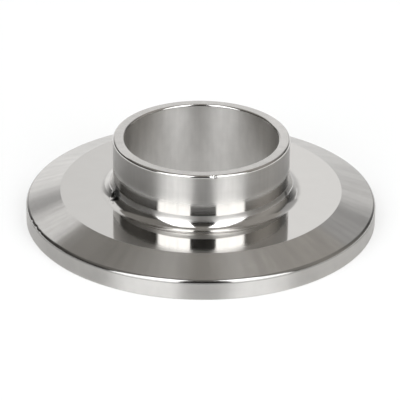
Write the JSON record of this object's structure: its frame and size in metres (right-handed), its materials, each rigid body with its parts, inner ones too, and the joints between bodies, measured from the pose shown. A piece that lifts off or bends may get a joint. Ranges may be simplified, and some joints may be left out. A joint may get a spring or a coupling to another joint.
{
  "type": "sanitary clamp ferrule",
  "caption": "Short weld ferrule turned in one piece from stainless steel: a tube stub on a round clamp flange with a gasket groove in its sealing face.",
  "frame": {"origin": "on the bore's axis, in the plane of the sealing face that the ferrule rests on", "axes": "+Z along the bore, from the sealing face to the weld end; X and Y are free, because the part is turned"},
  "size_m": [0.0506, 0.0506, 0.0127],
  "materials": {
    "stainless": "turned stainless steel, bright on the land and the tube, with fine circular turning marks on the cone and the rim"
  },
  "bodies": {
    "root": {"ferrule": "stainless"}
  },
  "joints": []
}
